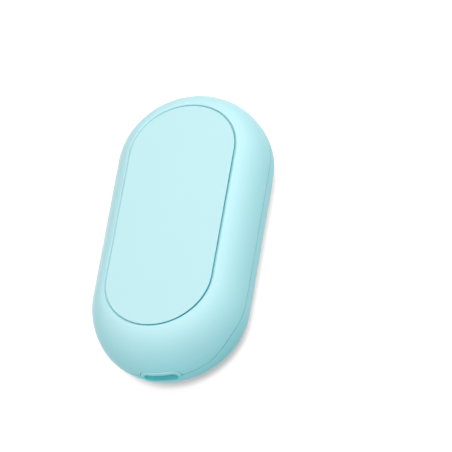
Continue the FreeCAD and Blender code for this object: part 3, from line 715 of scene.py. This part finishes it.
def seal_path(look):
    """Closed path of the bead in the gap round the plate, deeper on one side than on the other."""
    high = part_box("heating_plate")[1]
    radius = high.x + look.seal_gap / 2
    straight = high.y - high.x
    level = high.z - look.seal_depth - look.seal_tall / 2
    path = []
    for step in range(SEAL_STEPS):
        turn = 2 * math.pi * (step + 0.5) / SEAL_STEPS
        x, y = math.cos(turn) * radius, math.sin(turn) * radius
        lean = math.cos(turn - look.seal_side)
        sunk = look.seal_swing * (lean - look.seal_ends * (1 - lean * lean))
        path.append((x, y + math.copysign(straight, y), level - sunk))
    return path, [(step, (step + 1) % SEAL_STEPS) for step in range(SEAL_STEPS)]


class WARMER_OT_casing(Operator):
    """Finish the casing halves and the heating plate, and lay the bead between them"""

    bl_idname = "warmer.casing"
    bl_label = "Casing and Plate"

    def execute(self, context):
        look = context.scene.warmer_finish
        dress(casing_plastic("casing_satin", look), "front_shell", "rear_shell")
        paint = (look.plate, look.plate_deep)
        # The plate's upright edges take the painted groove shade
        dress(edged_satin(
            "plate_paint", look, paint, look.groove, look.plate_rough, look.patch_size,
            level_rise=0.8,
        ), "heating_plate")
        path, edges = seal_path(look)
        shade = [SEAL_SHADE * part for part in look.seal[:3]]
        rubber = moulded_plastic("seal_rubber", tones(look.seal[:3], shade), rough=0.55)
        sizes = {"Width": look.seal_gap, "Height": look.seal_tall, "Turn": 0.0}
        grown("plate_seal", path, flat_strip, sizes, rubber, edges)
        return {"FINISHED"}


class WARMER_OT_button(Operator):
    """Finish the push button with its raised power sign, with painted shade on its sides and on
    the sign's face
    """

    bl_idname = "warmer.button"
    bl_label = "Power Button"

    def execute(self, context):
        look = context.scene.warmer_finish
        faces = (look.casing, look.casing_deep)
        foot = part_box("power_button")[0].z
        # The sign's face and the button's sides take painted shade
        sign_shade_face = (look.sign, foot + look.sign_raise / 4, foot + look.sign_raise * 3 / 4)
        dress(edged_satin(
            "button_satin", look, faces, look.button_edge, look.casing_rough, look.patch_size / 3,
            level_rise=0.9, shaded_low_face=sign_shade_face,
        ), "power_button")
        return {"FINISHED"}


class WARMER_OT_lights(Operator):
    """Finish the light guide and the lamps, and add the lamps' lit faces"""

    bl_idname = "warmer.lights"
    bl_label = "Lights"

    def execute(self, context):
        detail = context.scene.warmer_detail
        dress(shade_tipped_guide("guide_acrylic", context.scene.warmer_finish), "light_guide")
        creams = tones((0.80, 0.78, 0.70), (0.88, 0.86, 0.78))
        dress(moulded_plastic("lamp_body", creams, rough=0.3), "indicator_leds")
        phosphor = tones((0.80, 0.58, 0.08), (0.86, 0.66, 0.14))
        glow = moulded_plastic(
            "lamp_phosphor", phosphor, rough=0.22,
            grain=0.05 * MM, patch=0.4 * MM, pit_depth=0.004 * MM,
        )
        low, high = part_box("indicator_leds")
        near, far = low.y + detail.lamp_depth / 2, high.y - detail.lamp_depth / 2
        side = high.x - detail.lamp_width / 2
        face = low.z - detail.plating
        places = [(-side, near, face), (0.0, far, face), (side, near, face)]
        window = detail.lamp_window
        sizes = {"Foot": window, "Top": window, "Rise": 2 * detail.plating}
        grown("lamp_windows", places, solder_joint, sizes, glow)
        return {"FINISHED"}


class WARMER_OT_socket(Operator):
    """Finish the charging socket's shell, tongue and contacts"""

    bl_idname = "warmer.socket"
    bl_label = "Charging Socket"

    def execute(self, context):
        nickel = tones((0.55, 0.55, 0.56), (0.64, 0.64, 0.65))
        gold = tones((0.78, 0.55, 0.20), (0.86, 0.65, 0.30))
        dress(worked_metal("socket_nickel", nickel, rough=0.3), "socket_shell")
        dress(black_resin(), "socket_tongue")
        dress(worked_metal("contact_gold", gold, rough=0.25), "socket_contacts")
        return {"FINISHED"}


def trace_path(detail):
    """Zigzag of the heater's trace over the film, row by row, just into the film's underside."""
    low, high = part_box("heater_film")
    room = high.x - detail.trace_margin
    straight = high.y - high.x
    rows = int(2 * (straight + room) / detail.trace_pitch)
    start = -(rows - 1) * detail.trace_pitch / 2
    level = low.z - detail.trace_thick / 3
    path = []
    for row in range(rows):
        y = start + row * detail.trace_pitch
        past = max(abs(y) - straight, 0.0)
        reach = math.sqrt(max(room * room - past * past, 0.0))
        way = 1 if row % 2 else -1
        path += [(way * reach, y, level), (-way * reach, y, level)]
    return path, [(index, index + 1) for index in range(len(path) - 1)]


class WARMER_OT_heater(Operator):
    """Finish the heater's layers, and add the etched trace under its film"""

    bl_idname = "warmer.heater"
    bl_label = "Heater"

    def execute(self, context):
        detail = context.scene.warmer_detail
        browns = tones((0.05, 0.045, 0.04), (0.10, 0.09, 0.08))
        dress(amber_film("heater_film"), "heater_film")
        dress(foam_tape(), "plate_adhesive")
        dress(pad_foam(), "insulation_pad")
        dress(moulded_plastic(
            "sensor_resin", browns, rough=0.2, grain=0.3 * MM, patch=1 * MM,
        ), "thermistor")
        path, edges = trace_path(detail)
        alloy = tones((0.60, 0.48, 0.38), (0.68, 0.56, 0.46))
        metal = worked_metal("trace_alloy", alloy, rough=0.32)
        sizes = {
            "Width": detail.trace_width, "Height": detail.trace_thick, "Turn": detail.trace_turn,
        }
        grown("heater_trace", path, flat_strip, sizes, metal, edges)
        return {"FINISHED"}


class WARMER_OT_board(Operator):
    """Finish the control board and its parts, and add the capacitors' metal ends"""

    bl_idname = "warmer.board"
    bl_label = "Control Board"

    def execute(self, context):
        detail = context.scene.warmer_detail
        ferrite = tones((0.055, 0.055, 0.058), (0.10, 0.10, 0.104))
        ceramic = tones((0.44, 0.32, 0.21), (0.54, 0.42, 0.29))
        dress(board_green(), "control_board")
        dress(black_resin(), "power_chip", "heater_transistor")
        dress(cellular(
            "coil_ferrite", ferrite, rough=0.6, cell=0.12 * MM, depth=0.02 * MM,
        ), "power_inductor")
        dress(cellular(
            "capacitor_ceramic", ceramic, rough=0.42, cell=0.08 * MM, depth=0.006 * MM,
        ), "capacitors")
        low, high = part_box("capacitors")
        wide = detail.chip_cap_width
        gap = (high.x - low.x - wide) / (CAPACITORS_IN_ROW - 1)
        middle = (low.z + high.z) / 2 - detail.plating
        ends = (detail.cap_end / 2, detail.chip_cap_length - detail.cap_end / 2)
        lines = [low.y + end for end in ends] + [high.y - end for end in ends]
        row = [low.x + wide / 2 + index * gap for index in range(CAPACITORS_IN_ROW)]
        places = [(x, y, middle) for y in lines for x in row]
        sizes = {
            "Width": wide + 2 * detail.plating, "Height": high.z - low.z,
            "Length": detail.cap_end + 2 * detail.plating, "Round": detail.cap_round,
        }
        grown("capacitor_ends", places, metal_end, sizes, bright_tin())
        return {"FINISHED"}


class WARMER_OT_switch(Operator):
    """Finish the tactile switch under the button, and put a copy of its snap dome on the casing"""

    bl_idname = "warmer.switch"
    bl_label = "Switch"

    def execute(self, context):
        bright = tones((0.60, 0.60, 0.61), (0.70, 0.70, 0.71))
        white = tones((0.74, 0.73, 0.70), (0.80, 0.79, 0.76))
        dress(worked_metal(
            "spring_bright", bright, rough=0.26, across=0.04 * MM, along=1 * MM,
        ), "switch_cover", "switch_dome")
        dress(black_resin(), "switch_base")
        dress(moulded_plastic("stem_white", white, rough=0.42), "switch_plunger")
        dome = bpy.data.objects.new("snap_dome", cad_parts["switch_dome"].data.copy())
        context.scene.collection.objects.link(dome)
        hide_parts("switch_dome")
        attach(dome, "casing")
        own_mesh(dome)
        return {"FINISHED"}


class WARMER_OT_battery(Operator):
    """Finish the cell, its tray, pads and safety board, and add the cell's folded seams"""

    bl_idname = "warmer.battery"
    bl_label = "Battery"

    def execute(self, context):
        detail = context.scene.warmer_detail
        pale = tones((0.66, 0.67, 0.66), (0.72, 0.73, 0.72))
        foil = pouch_foil("cell_foil", detail)
        dress(foil, "battery_cell")
        dress(foam_tape(), "battery_tape")
        dress(pad_foam(), "battery_pad")
        dress(moulded_plastic("tray_satin", pale, rough=0.48), "battery_tray")
        dress(board_green(), "protection_board")
        low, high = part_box("battery_cell")
        side = high.x + detail.fold_thick / 2
        near, far = low.y + detail.fold_inset, high.y - detail.fold_inset
        level = (low.z + high.z) / 2
        places = [(x, y, level) for x in (-side, side) for y in (near, far)]
        sizes = {"Width": detail.fold_thick, "Height": detail.fold_tall, "Turn": 0.0}
        grown("cell_folds", places, flat_strip, sizes, foil, [(0, 1), (2, 3)])
        return {"FINISHED"}


class WARMER_OT_leads(Operator):
    """Finish the leads, and add the solder joints at their board ends"""

    bl_idname = "warmer.leads"
    bl_label = "Leads"

    def execute(self, context):
        detail = context.scene.warmer_detail
        reds = tones((0.45, 0.012, 0.012), (0.56, 0.02, 0.02))
        blacks = tones((0.012, 0.012, 0.012), (0.03, 0.03, 0.03))
        whites = tones((0.66, 0.66, 0.64), (0.74, 0.74, 0.72))
        for slot, colours, names in (
            ("lead_red", reds, ("battery_lead_red",)),
            ("lead_black", blacks, ("battery_lead_black",)),
            ("lead_white", whites, ("heater_leads", "thermistor_leads")),
        ):
            dress(moulded_plastic(
                slot + "_silicone", colours, rough=0.5, grain=0.15 * MM, patch=3 * MM,
            ), *names)
        thick = ("heater_leads", "battery_lead_red", "battery_lead_black")
        for name, radius, sources in (
            ("power_joints", detail.lead_radius, thick),
            ("sensor_joints", detail.sensor_lead_radius, ("thermistor_leads",)),
        ):
            places = set()
            for source in sources:
                low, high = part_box(source)
                for x in (low.x + radius, high.x - radius):
                    end = (x, low.y + radius, low.z)
                    places.add(tuple(round(part, PLACE_DIGITS) for part in end))
            sizes = {
                "Foot": radius * detail.solder_share, "Top": radius,
                "Rise": radius * detail.solder_rise,
            }
            grown(name, sorted(places), solder_joint, sizes, bright_tin())
        return {"FINISHED"}


class WARMER_OT_screws(Operator):
    """Finish the screws, and wind the threads on their shanks"""

    bl_idname = "warmer.screws"
    bl_label = "Screws"

    def execute(self, context):
        detail = context.scene.warmer_detail
        greys = tones((0.48, 0.48, 0.50), (0.60, 0.60, 0.62))
        zinc = worked_metal("screw_zinc", greys, rough=0.34)
        head = detail.screw_head
        for name, free in (("shell_screws", detail.shell_screw_free), ("board_screws", 0.0)):
            dress(zinc, name)
            low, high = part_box(name)
            ys = {round(y, PLACE_DIGITS) for y in (low.y + head, high.y - head)}
            foot = low.z + detail.thread_depth
            places = [(x, y, foot) for x in (low.x + head, high.x - head) for y in sorted(ys)]
            rise = (high.z - low.z) * THREAD_SHARE - free
            sizes = {
                "Radius": detail.screw_shank, "Depth": detail.thread_depth,
                "Rise": rise, "Turns": rise / detail.thread_pitch,
            }
            threads = name.replace("screws", "threads")
            grown(threads, places, screw_thread, sizes, zinc)
        return {"FINISHED"}


# Studio

def shown_rays(tree):
    """1 for the rays that show the background: camera, mirror and glass rays."""
    path = node(tree, "ShaderNodeLightPath").outputs
    first = math_node(tree, "MAXIMUM", path["Is Camera Ray"], path["Is Glossy Ray"])
    return math_node(tree, "MAXIMUM", first, path["Is Transmission Ray"])


def floor_material(stage):
    """White floor that keeps the shadow and adds a painted shadow round the object's foot, shows
    nothing from below, and lets soft light through.
    """
    material = bpy.data.materials.new("studio_floor")
    tree = empty_tree(material)
    path = node(tree, "ShaderNodeLightPath").outputs
    matte = node(tree, "ShaderNodeBsdfDiffuse", {"Color": stage.floor_tone})
    axes = object_axes(tree)
    straight = stage.foot_length - stage.foot_width
    past = math_node(tree, "SUBTRACT", math_node(tree, "ABSOLUTE", axes["Y"]), straight)
    offset = vector_from(tree, X=axes["X"], Y=math_node(tree, "MAXIMUM", past, 0.0))
    away = node(tree, "ShaderNodeVectorMath", {0: offset}, operation="LENGTH").outputs["Value"]
    # Painted shadow: less glow within a band round the object's flat foot, on top of the real
    # shadow
    ends = [stage.foot_width + distance for distance in (stage.shade_start, stage.shade_end)]
    white = spread(tree, away, stage.shade_glow, stage.floor_glow, *ends)
    strength = math_node(tree, "MULTIPLY", shown_rays(tree), white)
    glow = node(tree, "ShaderNodeEmission", {"Strength": strength})
    both = node(tree, "ShaderNodeAddShader", {0: matte.outputs[0], 1: glow.outputs[0]})
    behind = node(tree, "ShaderNodeNewGeometry").outputs["Backfacing"]
    passing = math_node(tree, "MAXIMUM", path["Is Shadow Ray"], path["Is Diffuse Ray"])
    hidden = math_node(tree, "MAXIMUM", behind, passing)
    clear = node(tree, "ShaderNodeBsdfTransparent")
    halves = {0: hidden, 1: both.outputs[0], 2: clear.outputs[0]}
    mix = node(tree, "ShaderNodeMixShader", halves)
    node(tree, "ShaderNodeOutputMaterial", {"Surface": mix.outputs[0]})
    return material


def studio_world(stage):
    """White for the rays that show it, and a soft light from all round for the rest."""
    world = bpy.data.worlds.new("studio")
    bpy.context.scene.world = world
    tree = empty_tree(world)
    rise = axes_of(tree, node(tree, "ShaderNodeTexCoord").outputs["Generated"])["Z"]
    overhead = spread(tree, rise, 0.0, 1.0, end=stage.horizon_top)
    sky = two_colours(tree, overhead, stage.horizon, stage.ambient)
    below = spread(tree, rise, 1.0, 0.0, -HORIZON_BAND, HORIZON_BAND)
    tint = two_colours(tree, below, sky, stage.bounce)
    soft = {"Color": tint, "Strength": stage.ambient_level}
    light = node(tree, "ShaderNodeBackground", soft)
    shown = node(tree, "ShaderNodeBackground", {"Color": WHITE})
    halves = {0: shown_rays(tree), 1: light.outputs[0], 2: shown.outputs[0]}
    mix = node(tree, "ShaderNodeMixShader", halves)
    node(tree, "ShaderNodeOutputWorld", {"Surface": mix.outputs[0]})


def soft_lamp(name, direction, distance, side, power, target, tint):
    """Square lamp that faces the target from a direction."""
    data = bpy.data.lights.new(name, "AREA")
    data.shape = "SQUARE"
    data.size = side
    data.energy = power
    data.color = tint[:3]
    lamp = bpy.data.objects.new(name, data)
    towards = Vector(direction).normalized()
    lamp.location = target + towards * distance
    lamp.rotation_mode = "QUATERNION"
    lamp.rotation_quaternion = towards.to_track_quat("Z", "Y")
    bpy.context.scene.collection.objects.link(lamp)


def make_camera(stage, middle):
    """Camera that looks along the photograph's line of sight."""
    turn, tilt = stage.azimuth, stage.elevation
    reach = math.cos(tilt)
    back = Vector((math.sin(turn) * reach, -math.cos(turn) * reach, math.sin(tilt)))
    level = Vector((0, 0, 1)).cross(back).normalized()
    upwards = back.cross(level)
    right = level * math.cos(stage.roll) + upwards * math.sin(stage.roll)
    up = upwards * math.cos(stage.roll) - level * math.sin(stage.roll)
    data = bpy.data.cameras.new("camera")
    data.lens = stage.lens
    camera = bpy.data.objects.new("camera", data)
    place = middle + right * stage.aim_right + up * stage.aim_up + back * stage.distance
    turned = Matrix((right, up, back)).transposed().to_4x4()
    camera.matrix_world = Matrix.Translation(place) @ turned
    bpy.context.scene.collection.objects.link(camera)
    bpy.context.scene.camera = camera


class WARMER_OT_stage(Operator):
    """Set up the floor, the lamps, the surroundings and the camera"""

    bl_idname = "warmer.stage"
    bl_label = "Studio"

    def execute(self, context):
        stage = context.scene.warmer_stage
        middle = (cad_box[0] + cad_box[1]) / 2
        half = stage.floor_size / 2
        level = cad_box[0].z - stage.floor_drop
        corners = [(x * half, y * half, level) for x, y in ((-1, -1), (1, -1), (1, 1), (-1, 1))]
        mesh = bpy.data.meshes.new("floor")
        mesh.from_pydata(corners, [], [(0, 1, 2, 3)])
        mesh.materials.append(floor_material(stage))
        floor = bpy.data.objects.new("floor", mesh)
        context.scene.collection.objects.link(floor)
        studio_world(stage)
        make_camera(stage, middle)
        near, far = (stage.key_distance, stage.key_size), (stage.lamp_distance, stage.lamp_size)
        for name, towards, place, power, tint in (
            ("key_lamp", KEY_DIRECTION, near, stage.key_power, WHITE),
            ("fill_lamp", FILL_DIRECTION, far, stage.fill_power, WHITE),
            ("top_lamp", TOP_DIRECTION, far, stage.top_power, WHITE),
            ("under_lamp", UNDER_DIRECTION, far, stage.under_power, stage.under_colour),
        ):
            soft_lamp(name, towards, *place, power, middle, tint)
        context.scene.view_settings.view_transform = "Standard"
        return {"FINISHED"}


class WARMER_PT_panel(Panel):
    """Lists the steps that dress the hand warmer"""

    bl_idname = "WARMER_PT_panel"
    bl_label = "Hand Warmer"
    bl_space_type = "VIEW_3D"
    bl_region_type = "UI"
    bl_category = "Hand Warmer"

    def draw(self, context):
        for step in STEPS:
            self.layout.operator(step.bl_idname)


STEPS = (
    WARMER_OT_casing, WARMER_OT_button, WARMER_OT_lights, WARMER_OT_socket, WARMER_OT_heater,
    WARMER_OT_board, WARMER_OT_switch, WARMER_OT_battery, WARMER_OT_leads, WARMER_OT_screws,
    WARMER_OT_stage,
)
SETTINGS = {
    "warmer_finish": WarmerFinish, "warmer_detail": WarmerDetail, "warmer_stage": WarmerStage,
}


def register():
    for kind in (*SETTINGS.values(), *STEPS, WARMER_PT_panel):
        bpy.utils.register_class(kind)
    for name, kind in SETTINGS.items():
        setattr(bpy.types.Scene, name, PointerProperty(type=kind))


def unregister():
    for name in SETTINGS:
        delattr(bpy.types.Scene, name)
    for kind in (WARMER_PT_panel, *reversed(STEPS), *reversed(SETTINGS.values())):
        bpy.utils.unregister_class(kind)


def main():
    register()
    for step in STEPS:
        getattr(bpy.ops.warmer, step.bl_idname.split(".")[1])()


if __name__ == "__main__":
    main()
